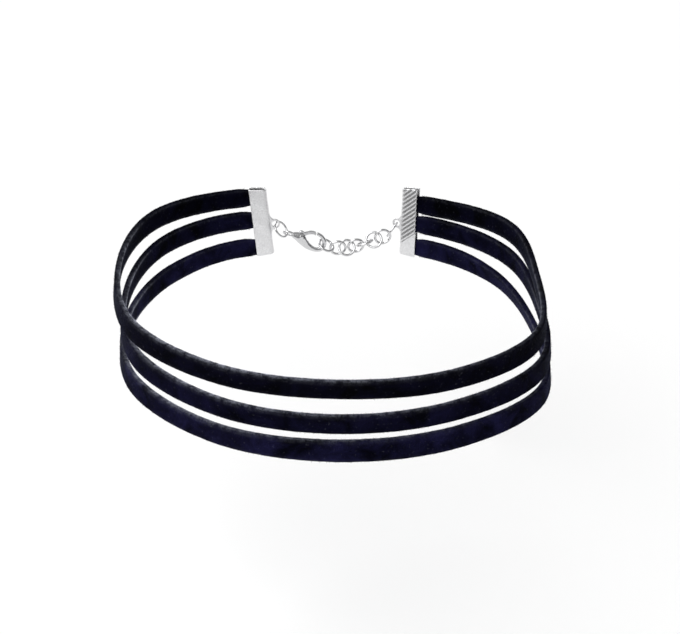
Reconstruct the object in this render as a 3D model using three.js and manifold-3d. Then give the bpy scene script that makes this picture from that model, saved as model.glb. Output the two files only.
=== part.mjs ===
// Choker necklace: three flat ribbon bands between two folded ribbon clamps,
// closed behind the neck by a lobster clasp hooked to a short chain of round links.
// Millimetres, +Z up. The origin is on the neck's axis, halfway up the bands.
// The throat faces -Y, and +X is on the right of someone who looks at the throat.

import * as THREE from "three";
import { mergeVertices } from "three/addons/utils/BufferGeometryUtils.js";
import Module from "manifold-3d";

const wasm = await Module();
wasm.setup();

// Driving sizes of the loop and the bands
const loopRadius = 55;
const bandSpacing = 8.2;
const bandWidth = 5;
const bandThickness = 1.4;
const bandStations = 66;

// Driving sizes of the clamps
const clampLength = 21;
const clampDepth = 5;
const sheetThickness = 0.45;
const pinchedThickness = 1;
const slotClearance = 0.25;
const bandRunsIn = 2.7;
const clampFoldTaper = 0.4;
const clampCornerRadius = 0.8;
const ridgePitch = 1.35;
const ridgeRadius = 0.42;
const ridgeStandsProud = 0.24;
const ridgeAngle = 40;
const ridgedShare = 0.62;
const scallopDepth = 0.22;
const tabRadius = 1.45;
const tabHoleRadius = 0.95;
const tabReach = 1.3;
const tabDrop = 1;
const tabThickness = 0.6;
const tabBaseHalf = 3.2;
const tabWaist = 0.3;

// Driving sizes of the clasp, the chain and their clearances
const claspLength = 14;
const claspWidth = 6;
const claspThickness = 2.6;
const hookThickness = 1.5;
const claspBevel = 0.2;
const hookInner = 0.9;
const tailRingOuter = 3.6;
const tailWire = 0.7;
const leverThickness = 1.1;
const leverGap = 0.2;
const pinRadius = 0.4;
const jumpRingOuter = 5.5;
const jumpRingWire = 0.6;
const linkOuter = 5.4;
const linkWire = 0.76;
const linkGap = 0.18;
const linkEase = 0.95;
const tailGap = 0.55;
const hookGap = 0.4;
const eyeSlackShare = 0.15;

const degrees = Math.PI / 180;

// One row per station of each band, from the left clamp round the throat to the right clamp.
// bearing: degrees round from the throat, positive towards +X
// reach: distance from the neck's axis, as a share of loopRadius
// rise: height of the band's middle, as a share of bandSpacing
// lean: degrees that the band's upper edge tips outwards
const bandTables = {
  band_top: [
    { bearing: -120, reach: 1.05, rise: 1.18, lean: 0 },
    { bearing: -90, reach: 1.01, rise: 1.21, lean: -9 },
    { bearing: -60, reach: 1.005, rise: 1.01, lean: -2 },
    { bearing: -30, reach: 0.925, rise: 0.865, lean: 11 },
    { bearing: 0, reach: 0.875, rise: 0.82, lean: 17 },
    { bearing: 30, reach: 0.91, rise: 0.82, lean: 9 },
    { bearing: 60, reach: 0.965, rise: 0.845, lean: -4 },
    { bearing: 90, reach: 0.905, rise: 1.01, lean: -10 },
    { bearing: 120, reach: 0.97, rise: 1.08, lean: -2 },
  ],
  band_middle: [
    { bearing: -120, reach: 1.015, rise: 0.255, lean: -2 },
    { bearing: -90, reach: 0.99, rise: 0.195, lean: -6 },
    { bearing: -60, reach: 0.995, rise: 0.005, lean: -2 },
    { bearing: -30, reach: 0.93, rise: -0.175, lean: 9 },
    { bearing: 0, reach: 0.89, rise: -0.23, lean: 13 },
    { bearing: 30, reach: 0.925, rise: -0.15, lean: 7 },
    { bearing: 60, reach: 1, rise: -0.02, lean: -5 },
    { bearing: 90, reach: 0.93, rise: 0.085, lean: -12 },
    { bearing: 120, reach: 0.97, rise: 0.155, lean: -6 },
  ],
  band_bottom: [
    { bearing: -120, reach: 1, rise: -0.9, lean: 2 },
    { bearing: -90, reach: 1, rise: -0.9, lean: -5 },
    { bearing: -60, reach: 1.015, rise: -0.85, lean: -4 },
    { bearing: -30, reach: 0.955, rise: -0.97, lean: 4 },
    { bearing: 0, reach: 0.92, rise: -0.965, lean: -1 },
    { bearing: 30, reach: 0.96, rise: -0.88, lean: -5 },
    { bearing: 60, reach: 1.02, rise: -0.87, lean: -6 },
    { bearing: 90, reach: 0.935, rise: -0.895, lean: -15 },
    { bearing: 120, reach: 0.93, rise: -0.715, lean: -19 },
  ],
};

// One row per clamp. bearing, reach and rise place the middle of its mouth; heading is the
// way that the ribbons run in, in degrees from +X towards +Y; dip is how far that way slopes
// down; lean tips the clamp's upper end outwards. The seats are where the middles of the three
// bands sit along the clamp, as shares of its length from its middle.
const clampTable = {
  clamp_left: {
    bearing: -150.8, reach: 0.969, rise: 0.02, heading: 2, dip: -6, lean: 2,
    seats: { band_top: 0.377, band_middle: 0.037, band_bottom: -0.382 },
  },
  clamp_right: {
    bearing: 155.4, reach: 0.979, rise: 0, heading: 155, dip: 2.5, lean: 5,
    seats: { band_top: 0.278, band_middle: -0.013, band_bottom: -0.363 },
  },
};

// The route of the clasp and chain behind the neck, from the left tab's hole to the right one's.
// along and drop are shares of the straight distance between the two holes.
const chainRoute = [
  { along: 0, drop: 0 },
  { along: 0.09, drop: 0.095 },
  { along: 0.25, drop: 0.145 },
  { along: 0.415, drop: 0.195 },
  { along: 0.48, drop: 0.225 },
  { along: 0.56, drop: 0.235 },
  { along: 0.66, drop: 0.21 },
  { along: 0.76, drop: 0.17 },
  { along: 0.85, drop: 0.14 },
  { along: 0.94, drop: 0.105 },
  { along: 1, drop: 0 },
];
const claspFaceTilt = 14;
const tailRingTurn = 60;
const linkTurns = [-76, 9, -38, 15, -106, -38, 8];
const leftJumpTurn = -72;
const rightJumpTurn = 74;

// Manifold helpers: a closed geometry to a solid, and back
function solidOf(geometry) {
  const bare = geometry.clone();
  bare.deleteAttribute("normal");
  bare.deleteAttribute("uv");
  const merged = mergeVertices(bare, 1e-4);
  const mesh = new wasm.Mesh({
    numProp: 3,
    vertProperties: new Float32Array(merged.attributes.position.array),
    triVerts: new Uint32Array(merged.index.array),
  });
  return new wasm.Manifold(mesh);
}

function geometryOf(solid) {
  const mesh = solid.getMesh();
  const geometry = new THREE.BufferGeometry();
  geometry.setAttribute("position", new THREE.BufferAttribute(mesh.vertProperties, 3));
  geometry.setIndex(new THREE.BufferAttribute(mesh.triVerts, 1));
  geometry.computeVertexNormals();
  return geometry;
}

// A smooth curve through rows of named numbers, by three-point slopes.
// The parameter is the distance run from row to row.
function smoothRows(rows) {
  const names = Object.keys(rows[0]);
  const run = [0];
  for (let i = 1; i < rows.length; i += 1) {
    const step = Math.hypot(...["x", "y", "z"].map((n) => rows[i][n] - rows[i - 1][n]));
    run.push(run[i - 1] + step);
  }
  const last = rows.length - 1;
  const slope = (i, n) => (rows[i + 1][n] - rows[i][n]) / (run[i + 1] - run[i]);
  const blend = (i, n) => {
    if (i === 0) return slope(0, n);
    if (i === last) return slope(last - 1, n);
    const before = run[i] - run[i - 1];
    const after = run[i + 1] - run[i];
    return (slope(i - 1, n) * after + slope(i, n) * before) / (before + after);
  };
  const at = (distance) => {
    let i = 0;
    while (i < last - 1 && run[i + 1] < distance) i += 1;
    const width = run[i + 1] - run[i];
    const t = (distance - run[i]) / width;
    const row = {};
    for (const n of names) {
      row[n] =
        (2 * t ** 3 - 3 * t ** 2 + 1) * rows[i][n] +
        (t ** 3 - 2 * t ** 2 + t) * width * blend(i, n) +
        (3 * t ** 2 - 2 * t ** 3) * rows[i + 1][n] +
        (t ** 3 - t ** 2) * width * blend(i + 1, n);
    }
    return row;
  };
  return { at, length: run[last] };
}

// The frame of a clamp: its origin in the middle of the mouth, x running in towards the fold,
// z along the clamp, y through its plates.
function clampFrame(name) {
  const pose = clampTable[name];
  const heading = pose.heading * degrees;
  const dip = pose.dip * degrees;
  const lean = pose.lean * degrees;
  const bearing = pose.bearing * degrees;
  const inwards = new THREE.Vector3(
    Math.cos(heading) * Math.cos(dip),
    Math.sin(heading) * Math.cos(dip),
    -Math.sin(dip),
  );
  const side = new THREE.Vector3(-Math.sin(heading), Math.cos(heading), 0);
  const outwards = side.clone().multiplyScalar(Math.sign(side.y));
  const along = new THREE.Vector3().crossVectors(inwards, side);
  along.multiplyScalar(Math.cos(lean)).addScaledVector(outwards, Math.sin(lean));
  const through = new THREE.Vector3().crossVectors(along, inwards);
  const frame = new THREE.Matrix4().makeBasis(inwards, through, along);
  return frame.setPosition(
    loopRadius * pose.reach * Math.sin(bearing),
    -loopRadius * pose.reach * Math.cos(bearing),
    bandSpacing * pose.rise,
  );
}

// The bands: flat strips that end inside the clamps, pinched thinner there
const slotWidth = pinchedThickness + 2 * slotClearance;
const clampThickness = slotWidth + 2 * sheetThickness;
const bandLead = 3;

function clampRows(clampName, bandName) {
  const frame = clampFrame(clampName);
  const seat = clampTable[clampName].seats[bandName] * clampLength;
  const lean = clampTable[clampName].lean;
  return [bandRunsIn, 0, -bandLead].map((x) => {
    const p = new THREE.Vector3(x, 0, seat).applyMatrix4(frame);
    return { x: p.x, y: p.y, z: p.z, lean, thickness: x < 0 ? bandThickness : pinchedThickness };
  });
}

function bandGeometry(name) {
  const stations = bandTables[name].map((row) => ({
    x: loopRadius * row.reach * Math.sin(row.bearing * degrees),
    y: -loopRadius * row.reach * Math.cos(row.bearing * degrees),
    z: bandSpacing * row.rise,
    lean: row.lean,
    thickness: bandThickness,
  }));
  const rightEnd = clampRows("clamp_right", name).reverse();
  const curve = smoothRows([...clampRows("clamp_left", name), ...stations, ...rightEnd]);
  const ends = [0, bandRunsIn, bandRunsIn + bandLead];
  const free = curve.length - 2 * (bandRunsIn + bandLead);
  const steps = [...ends];
  for (let i = 1; i < bandStations; i += 1) {
    steps.push(bandRunsIn + bandLead + (free * i) / bandStations);
  }
  steps.push(...ends.map((e) => curve.length - e).reverse());
  const corners = [];
  steps.forEach((distance) => {
    const row = curve.at(distance);
    const before = curve.at(Math.max(distance - 0.5, 0));
    const after = curve.at(Math.min(distance + 0.5, curve.length));
    const run = new THREE.Vector3(after.x - before.x, after.y - before.y, after.z - before.z);
    run.normalize();
    const outwards = new THREE.Vector3(run.y, -run.x, 0).normalize();
    const lean = row.lean * degrees;
    const up = new THREE.Vector3().crossVectors(outwards, run).normalize();
    const over = up.clone().multiplyScalar(Math.cos(lean)).addScaledVector(outwards, Math.sin(lean));
    const out = new THREE.Vector3().crossVectors(run, over).normalize();
    const thickness = Math.min(row.thickness, bandThickness);
    const middle = new THREE.Vector3(row.x, row.y, row.z);
    for (const [across, through] of [[1, 1], [1, -1], [-1, -1], [-1, 1]]) {
      const corner = middle.clone().addScaledVector(over, (across * bandWidth) / 2);
      corners.push(corner.addScaledVector(out, (through * thickness) / 2));
    }
  });
  return loftOf(corners, 4);
}

// Rings of corners joined one to the next, and closed at both ends
function loftOf(corners, perRing) {
  const rings = corners.length / perRing;
  const faces = [];
  for (let r = 0; r + 1 < rings; r += 1) {
    for (let c = 0; c < perRing; c += 1) {
      const a = r * perRing + c;
      const b = r * perRing + ((c + 1) % perRing);
      faces.push(a, a + perRing, b, b, a + perRing, b + perRing);
    }
  }
  const end = (rings - 1) * perRing;
  for (let c = 1; c + 1 < perRing; c += 1) {
    faces.push(0, c, c + 1);
    faces.push(end, end + c + 1, end + c);
  }
  const geometry = new THREE.BufferGeometry().setFromPoints(corners);
  geometry.setIndex(faces);
  geometry.computeVertexNormals();
  return geometry;
}

// The clamp: sheet folded in a U, with a ridged plate, a plain plate and a tab at the fold
function foldedSheet() {
  const outer = clampThickness / 2;
  const inner = slotWidth / 2;
  const bend = clampDepth - outer;
  const section = new THREE.Shape();
  section.moveTo(0, -outer);
  section.lineTo(bend, -outer);
  section.absarc(bend, 0, outer, -Math.PI / 2, Math.PI / 2, false);
  section.lineTo(0, outer);
  section.lineTo(0, inner);
  section.lineTo(bend, inner);
  section.absarc(bend, 0, inner, Math.PI / 2, -Math.PI / 2, true);
  section.lineTo(0, -inner);
  section.closePath();
  const sheet = new THREE.ExtrudeGeometry(section, {
    depth: clampLength,
    bevelEnabled: false,
    curveSegments: 8,
  });
  sheet.translate(0, 0, -clampLength / 2);
  return solidOf(sheet);
}

// The clamp's outline seen square on: shorter at the fold than at the mouth, its corners there
// round. The mouth edge of the ridged plate is scalloped between the ridges.
function clampOutline(scalloped) {
  const half = clampLength / 2;
  const foldHalf = half - clampFoldTaper;
  const shoulder = foldHalf + (clampFoldTaper * clampCornerRadius) / clampDepth;
  const shape = new THREE.Shape();
  shape.moveTo(clampDepth, -foldHalf + clampCornerRadius);
  shape.lineTo(clampDepth, foldHalf - clampCornerRadius);
  shape.quadraticCurveTo(clampDepth, foldHalf, clampDepth - clampCornerRadius, shoulder);
  shape.lineTo(0, half);
  if (scalloped) {
    const count = Math.round((ridgedShare * clampLength) / ridgePitch);
    for (let i = 0; i < count; i += 1) {
      const top = half - i * ridgePitch;
      shape.quadraticCurveTo(2 * scallopDepth, top - ridgePitch / 2, 0, top - ridgePitch);
    }
  }
  shape.lineTo(0, -half);
  shape.lineTo(clampDepth - clampCornerRadius, -shoulder);
  shape.quadraticCurveTo(clampDepth, -foldHalf, clampDepth, -foldHalf + clampCornerRadius);
  return shape;
}

// A plate shape drawn in x and z, standing from one y to another
function standingPlate(shape, fromY, toY, segments = 3) {
  const plate = new THREE.ExtrudeGeometry(shape, {
    depth: toY - fromY,
    bevelEnabled: false,
    curveSegments: segments,
  });
  plate.rotateX(Math.PI / 2);
  plate.translate(0, toY, 0);
  return solidOf(plate);
}

function clampSolid() {
  const reachY = clampThickness + ridgeStandsProud;
  let solid = foldedSheet();
  const face = clampThickness / 2;
  const flat = clampDepth - face / 2;
  const ridgeLength = flat / Math.cos(ridgeAngle * degrees);
  const rise = Math.tan(ridgeAngle * degrees) * flat;
  const above = Math.ceil(rise / ridgePitch);
  const count = Math.ceil((ridgedShare * clampLength) / ridgePitch);
  for (let i = -above; i < count; i += 1) {
    const ridge = new THREE.CylinderGeometry(ridgeRadius, ridgeRadius, ridgeLength, 8);
    ridge.rotateY(Math.PI / 8);
    ridge.rotateZ(Math.PI / 2);
    ridge.rotateY(ridgeAngle * degrees);
    const height = clampLength / 2 - ridgePitch / 2 - i * ridgePitch - rise / 2;
    ridge.translate(flat / 2, face + ridgeStandsProud - ridgeRadius, height);
    solid = solid.add(solidOf(ridge));
  }
  const plain = standingPlate(clampOutline(false), -reachY, 0);
  const scalloped = standingPlate(clampOutline(true), 0, reachY);
  solid = solid.intersect(plain.add(scalloped));
  return solid.add(tabSolid());
}

// The tab: a flat hump on the fold with a round eye
function tabSolid() {
  const eyeX = clampDepth + tabReach;
  const root = clampDepth - sheetThickness;
  const shape = new THREE.Shape();
  shape.moveTo(root, -tabBaseHalf);
  shape.lineTo(clampDepth, -tabBaseHalf);
  shape.quadraticCurveTo(clampDepth + tabWaist, -tabRadius, eyeX, -tabRadius);
  shape.absarc(eyeX, 0, tabRadius, -Math.PI / 2, Math.PI / 2, false);
  shape.quadraticCurveTo(clampDepth + tabWaist, tabRadius, clampDepth, tabBaseHalf);
  shape.lineTo(root, tabBaseHalf);
  shape.closePath();
  const eye = new THREE.Path();
  eye.absarc(eyeX, 0, tabHoleRadius, 0, 2 * Math.PI, true);
  shape.holes.push(eye);
  const tab = standingPlate(shape, -tabThickness / 2, tabThickness / 2, 6);
  return tab.translate([0, 0, -tabDrop]);
}

function eyePoint(clampName) {
  const frame = clampFrame(clampName);
  return new THREE.Vector3(clampDepth + tabReach, 0, -tabDrop).applyMatrix4(frame);
}

// The chain's route in space, hanging in the upright plane between the two tab eyes
const leftEye = eyePoint("clamp_left");
const rightEye = eyePoint("clamp_right");
const eyeSpan = leftEye.distanceTo(rightEye);
const route = smoothRows(
  chainRoute.map(({ along, drop }) => {
    const p = leftEye.clone().lerp(rightEye, along);
    return { x: p.x, y: p.y, z: p.z - drop * eyeSpan };
  }),
);

function routePoint(distance) {
  const row = route.at(Math.min(Math.max(distance, 0), route.length));
  return new THREE.Vector3(row.x, row.y, row.z);
}

// A frame that looks along the route: x from one point to the other, z towards the throat side,
// turned about x by so many degrees.
function frameBetween(from, to, turn) {
  const x = to.clone().sub(from).normalize();
  const facing = new THREE.Vector3(0, -1, 0);
  const y = new THREE.Vector3().crossVectors(facing, x).normalize();
  const z = new THREE.Vector3().crossVectors(x, y);
  const frame = new THREE.Matrix4().makeBasis(x, y, z);
  return frame.multiply(new THREE.Matrix4().makeRotationX(turn * degrees));
}

// A round wire ring lying in its own xy plane
function wireRing(outer, wire, around = 18, section = 8) {
  return new THREE.TorusGeometry((outer - wire) / 2, wire / 2, section, around);
}

// Where each ring and the clasp sit along the route, from wire to wire
const jumpMiddle = (jumpRingOuter - jumpRingWire) / 2;
const linkMiddle = (linkOuter - linkWire) / 2;
const eyeSlack = eyeSlackShare * tabHoleRadius;
const leftJumpAt = eyeSlack + jumpMiddle;
const tailStart = leftJumpAt + jumpMiddle - jumpRingWire / 2 - tailWire - tailGap;
const firstLinkAt = tailStart + claspLength * hookInner - linkWire / 2 - hookGap + linkMiddle;
const rightJumpAt = route.length - eyeSlack - jumpMiddle;
const lastLinkAt = rightJumpAt - jumpMiddle + jumpRingWire / 2 + linkWire / 2 + linkGap - linkMiddle;
const tautPitch = linkOuter - 2 * linkWire - linkGap;
const linkCount = Math.ceil((lastLinkAt - firstLinkAt) / (tautPitch * linkEase)) + 1;
const secondLinkAt = firstLinkAt + tautPitch;
const linkPitch = (lastLinkAt - secondLinkAt) / (linkCount - 2);

// The clasp's outline in its own plane: along from the tail end to the hook's far end as a share
// of claspLength, across towards the lever's side as a share of claspWidth.
const hookOutline = [
  { along: 0.2, across: -0.1 },
  { along: 0.36, across: -0.27 },
  { along: 0.57, across: -0.46 },
  { along: 0.71, across: -0.5 },
  { along: 0.84, across: -0.475 },
  { along: 0.94, across: -0.36 },
  { along: 0.99, across: -0.14 },
  { along: 0.985, across: 0.1 },
  { along: 0.94, across: 0.28 },
  { along: 0.86, across: 0.42 },
  { along: 0.77, across: 0.48 },
  { along: 0.695, across: 0.49 },
];
const eyeOutline = [
  { along: 0.735, across: 0.31 },
  { along: 0.79, across: 0.3 },
  { along: 0.85, across: 0.22 },
  { along: 0.89, across: 0.08 },
  { along: hookInner, across: -0.08 },
  { along: 0.87, across: -0.22 },
  { along: 0.81, across: -0.275 },
  { along: 0.73, across: -0.25 },
  { along: 0.63, across: -0.14 },
  { along: 0.56, across: 0.0 },
  { along: 0.5, across: 0.14 },
];
const shoulderOutline = [
  { along: 0.47, across: 0.23 },
  { along: 0.4, across: 0.26 },
  { along: 0.32, across: 0.2 },
  { along: 0.2, across: 0.1 },
];
const pivot = { along: 0.4, across: 0.05 };
const slotReach = 0.185;
const slotFloor = 0.15;

function claspPoint(row) {
  return new THREE.Vector2(row.along * claspLength, row.across * claspWidth);
}

function smoothOutline(...stretches) {
  const shape = new THREE.Shape();
  stretches.forEach((rows, i) => {
    const points = rows.map(claspPoint);
    if (i === 0) shape.moveTo(points[0].x, points[0].y);
    else shape.lineTo(points[0].x, points[0].y);
    shape.splineThru(points.slice(1));
  });
  shape.closePath();
  return shape;
}

// A rounded slab of a shape, centred on its own plane
function slab(shape, thickness, bevel, segments) {
  const geometry = new THREE.ExtrudeGeometry(shape, {
    depth: thickness - 2 * bevel,
    bevelEnabled: bevel > 0,
    bevelThickness: bevel,
    bevelSize: bevel,
    bevelOffset: -bevel,
    bevelSegments: 1,
    curveSegments: segments,
  });
  geometry.translate(0, 0, -thickness / 2 + bevel);
  return solidOf(geometry);
}

// The body: hook and spine in one casting, thicker round the pivot, slotted for the lever
function claspBodySolid() {
  const outline = smoothOutline(hookOutline, eyeOutline, shoulderOutline);
  let solid = slab(outline, hookThickness, claspBevel, 2);
  const cheek = smoothOutline(
    hookOutline.slice(0, 4),
    eyeOutline.slice(-4),
    shoulderOutline,
  );
  solid = solid.add(slab(cheek, claspThickness, claspBevel, 2));
  const pin = claspPoint(pivot);
  const slot = new THREE.Shape();
  const slotRadius = leverHub + leverGap;
  slot.absarc(pin.x, pin.y, slotRadius, Math.PI, (7 * Math.PI) / 4, false);
  slot.lineTo(pin.x + slotReach * claspLength, pin.y - slotFloor * claspWidth);
  slot.lineTo(pin.x + slotReach * claspLength, claspWidth);
  slot.lineTo(pin.x - slotRadius, claspWidth);
  slot.closePath();
  solid = solid.subtract(slab(slot, leverThickness + 2 * leverGap, 0, 5));
  const rivet = new THREE.CylinderGeometry(pinRadius, pinRadius, claspThickness, 12);
  rivet.rotateX(Math.PI / 2);
  rivet.translate(pin.x, pin.y, 0);
  solid = solid.add(solidOf(rivet));
  const tail = wireRing(tailRingOuter, tailWire);
  tail.rotateX(tailRingTurn * degrees);
  tail.translate(tailRingOuter / 2, 0, 0);
  return solid.add(solidOf(tail));
}

// The lever: a hub round the pin, an arm that closes the hook's mouth, and a thumb tab
const leverHub = 0.95;
const leverOutline = [
  { along: 0.675, across: 0.49 },
  { along: 0.62, across: 0.485 },
  { along: 0.55, across: 0.43 },
  { along: 0.485, across: 0.34 },
  { along: 0.45, across: 0.3 },
  { along: 0.42, across: 0.335 },
  { along: 0.375, across: 0.335 },
  { along: 0.347, across: 0.28 },
  { along: 0.338, across: 0.2 },
];
const leverInner = [
  { along: 0.475, across: 0.05 },
  { along: 0.5, across: 0.17 },
  { along: 0.56, across: 0.27 },
  { along: 0.63, across: 0.325 },
  { along: 0.71, across: 0.315 },
];

function claspLeverSolid() {
  const pin = claspPoint(pivot);
  const shape = new THREE.Shape();
  const outer = leverOutline.map(claspPoint);
  const inner = leverInner.map(claspPoint);
  shape.moveTo(outer[0].x, outer[0].y);
  shape.splineThru(outer.slice(1));
  shape.absarc(pin.x, pin.y, leverHub, Math.PI, 2 * Math.PI, false);
  shape.lineTo(inner[0].x, inner[0].y);
  shape.splineThru(inner.slice(1));
  shape.closePath();
  const hole = new THREE.Path();
  hole.absarc(pin.x, pin.y, pinRadius + leverGap, 0, 2 * Math.PI, true);
  shape.holes.push(hole);
  return slab(shape, leverThickness, 0, 4);
}

// Materials
const ribbonBlack = new THREE.MeshStandardMaterial({ color: 0x0c0d18, roughness: 0.95, metalness: 0 });
const satinSilver = new THREE.MeshStandardMaterial({ color: 0xc4c4c6, roughness: 0.4, metalness: 1 });
const brightSilver = new THREE.MeshStandardMaterial({ color: 0xd2d2d4, roughness: 0.22, metalness: 1 });

const necklace = new THREE.Group();

function addPiece(name, geometry, material, frame) {
  const piece = new THREE.Mesh(geometry, material);
  piece.name = name;
  if (frame) piece.applyMatrix4(frame);
  necklace.add(piece);
}

for (const name of Object.keys(bandTables)) {
  addPiece(name, bandGeometry(name), ribbonBlack);
}

const clampGeometry = geometryOf(clampSolid());
for (const name of Object.keys(clampTable)) {
  addPiece(name, clampGeometry, satinSilver, clampFrame(name));
}

// A ring on the route: its plane holds the route's own direction
function addRing(name, outer, wire, distance, turn) {
  const middle = (outer - wire) / 2;
  const from = routePoint(distance - middle);
  const to = routePoint(distance + middle);
  const frame = frameBetween(from, to, turn);
  frame.setPosition(from.lerp(to, 0.5));
  addPiece(name, wireRing(outer, wire), brightSilver, frame);
}

addRing("jump_ring_left", jumpRingOuter, jumpRingWire, leftJumpAt, leftJumpTurn);

const claspFrame = frameBetween(
  routePoint(tailStart),
  routePoint(tailStart + claspLength),
  -claspFaceTilt,
);
claspFrame.setPosition(routePoint(tailStart));
addPiece("clasp_body", geometryOf(claspBodySolid()), brightSilver, claspFrame);
addPiece("clasp_lever", geometryOf(claspLeverSolid()), brightSilver, claspFrame);

for (let i = 0; i < linkCount; i += 1) {
  const turn = linkTurns[i % linkTurns.length];
  const name = "chain_link_" + String(i + 1).padStart(2, "0");
  const along = i === 0 ? firstLinkAt : secondLinkAt + linkPitch * (i - 1);
  addRing(name, linkOuter, linkWire, along, turn);
}

addRing("jump_ring_right", jumpRingOuter, jumpRingWire, rightJumpAt, rightJumpTurn);

export default necklace;
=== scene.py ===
from math import ceil, cos, pi, radians, sin, tan

import bpy
import numpy as np
from bpy.props import FloatProperty, FloatVectorProperty, IntProperty, PointerProperty
from mathutils import Matrix, Vector


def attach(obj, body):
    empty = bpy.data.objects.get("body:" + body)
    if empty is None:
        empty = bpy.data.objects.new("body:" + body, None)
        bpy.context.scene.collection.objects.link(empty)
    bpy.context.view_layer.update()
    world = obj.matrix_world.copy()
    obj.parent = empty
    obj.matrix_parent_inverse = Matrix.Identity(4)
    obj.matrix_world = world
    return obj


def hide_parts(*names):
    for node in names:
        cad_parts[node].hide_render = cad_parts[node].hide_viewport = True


bl_info = {
    "name": "Choker Necklace",
    "version": (1, 0, 0),
    "blender": (4, 5, 0),
    "location": "3D View > Sidebar > Choker",
    "description": "Velvet ribbon choker with ribbon clamps, lobster clasp and extender chain",
    "category": "Add Mesh",
}

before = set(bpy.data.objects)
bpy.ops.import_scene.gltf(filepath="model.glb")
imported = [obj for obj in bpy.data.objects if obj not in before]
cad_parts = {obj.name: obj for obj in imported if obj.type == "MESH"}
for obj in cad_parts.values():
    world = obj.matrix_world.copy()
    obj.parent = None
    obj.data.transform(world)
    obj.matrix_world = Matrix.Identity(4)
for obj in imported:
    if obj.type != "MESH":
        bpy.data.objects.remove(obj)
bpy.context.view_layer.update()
MM = 0.001

# The form of the loop, which the CAD solids follow too. One row for each bearing from the throat:
# reach as a share of the loop's radius, rise as a share of the band spacing, and lean of the
# band's upper edge outwards in degrees.
BAND_BEARINGS = range(-120, 121, 30)
BAND_ROWS = {
    "band_top": [
        (1.05, 1.18, 0), (1.01, 1.21, -9), (1.005, 1.01, -2),
        (0.925, 0.865, 11), (0.875, 0.82, 17), (0.91, 0.82, 9),
        (0.965, 0.845, -4), (0.905, 1.01, -10), (0.97, 1.08, -2),
    ],
    "band_middle": [
        (1.015, 0.255, -2), (0.99, 0.195, -6), (0.995, 0.005, -2),
        (0.93, -0.175, 9), (0.89, -0.23, 13), (0.925, -0.15, 7),
        (1, -0.02, -5), (0.93, 0.085, -12), (0.97, 0.155, -6),
    ],
    "band_bottom": [
        (1, -0.9, 2), (1, -0.9, -5), (1.015, -0.85, -4),
        (0.955, -0.97, 4), (0.92, -0.965, -1), (0.96, -0.88, -5),
        (1.02, -0.87, -6), (0.935, -0.895, -15), (0.93, -0.715, -19),
    ],
}
CLAMP_ROWS = {
    "clamp_left": {
        "bearing": -150.8, "reach": 0.969, "rise": 0.02, "heading": 2, "dip": -6, "lean": 2,
        "seats": {"band_top": 0.377, "band_middle": 0.037, "band_bottom": -0.382},
    },
    "clamp_right": {
        "bearing": 155.4, "reach": 0.979, "rise": 0, "heading": 155, "dip": 2.5, "lean": 5,
        "seats": {"band_top": 0.278, "band_middle": -0.013, "band_bottom": -0.363},
    },
}
# The chain's route: share of the way between the two tab eyes, and drop as a share of it
CHAIN_ROUTE = [
    (0, 0), (0.09, 0.095), (0.25, 0.145), (0.415, 0.195), (0.48, 0.225), (0.56, 0.235),
    (0.66, 0.21), (0.76, 0.17), (0.85, 0.14), (0.94, 0.105), (1, 0),
]
# Turns about the chain's route in degrees: the clasp, each link, the jump rings, the tail ring
CLASP_FACE_TILT = 14
LINK_TURNS = (-76, 9, -38, 15, -106, -38, 8)
JUMP_TURNS = {"left": -72, "right": 74}
TAIL_RING_TURN = 60

# The clasp's casting, section by section from the hook's tip round to the tail.
# Columns: outer edge along and across, inner edge along and across, half depth, as shares of
# the clasp's length, its width and its thickness.
CLASP_SECTIONS = [
    (0.697, 0.485, 0.733, 0.315, 0.24),
    (0.77, 0.48, 0.782, 0.3, 0.28),
    (0.86, 0.42, 0.832, 0.252, 0.29),
    (0.94, 0.28, 0.873, 0.15, 0.29),
    (0.985, 0.1, 0.896, 0.03, 0.29),
    (0.99, -0.14, 0.898, -0.1, 0.29),
    (0.94, -0.36, 0.872, -0.215, 0.29),
    (0.84, -0.475, 0.812, -0.272, 0.29),
    (0.71, -0.5, 0.732, -0.25, 0.31),
    (0.58, -0.465, 0.64, -0.155, 0.36),
    (0.47, -0.375, 0.56, 0, 0.43),
    (0.38, -0.29, 0.495, 0.15, 0.49),
    (0.31, -0.21, 0.42, 0.255, 0.5),
    (0.25, -0.15, 0.31, 0.19, 0.4),
    (0.19, -0.09, 0.2, 0.1, 0.27),
]
# The lever's pin and outline, as shares of the clasp's length and its width
PIVOT = (0.4, 0.05)
LEVER_OUTER = [
    (0.675, 0.49), (0.62, 0.485), (0.55, 0.43), (0.485, 0.34), (0.45, 0.3),
    (0.42, 0.335), (0.375, 0.335), (0.347, 0.28), (0.338, 0.2),
]
LEVER_INNER = [(0.475, 0.05), (0.5, 0.17), (0.56, 0.27), (0.63, 0.325), (0.71, 0.315)]

# Painted light for each ribbon: the top band is painted darker and the bottom band lighter, for
# how light falls on each band's lean
BAND_PAINTED_LIGHT = {"band_top": 0.6, "band_middle": 1.3, "band_bottom": 2.2}
# All other lengths up here are in millimetres. How far a ribbon runs into its clamp, and how far
# outside it has its full thickness again
PINCH_RUN, PINCH_LEAD = 2.7, 3
END_STATIONS = (0, 0.35, 0.9, 1.8, PINCH_RUN)
RIBBON_STATIONS, HEADING_STEP = 420, 0.5
# A strip's edges: their rounding, also as a share of half the thickness, how far in they reach,
# how fast that falls off, and how deep the painted sheen on them fades
EDGE_ROUNDING, EDGE_FULLNESS = 0.42, 0.9
EDGE_REACH, EDGE_FALLOFF, EDGE_FADE = 0.5, 1.6, 0.22
BEND_POINTS, FACE_POINTS = 5, 13
# The edges waver in waves of these lengths, and lie still up to this far from a clamp
WAVER_LENGTHS, WAVER_DEPTH, WAVER_START = (2.1, 3.7, 7.3, 13), 0.02, 3
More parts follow.
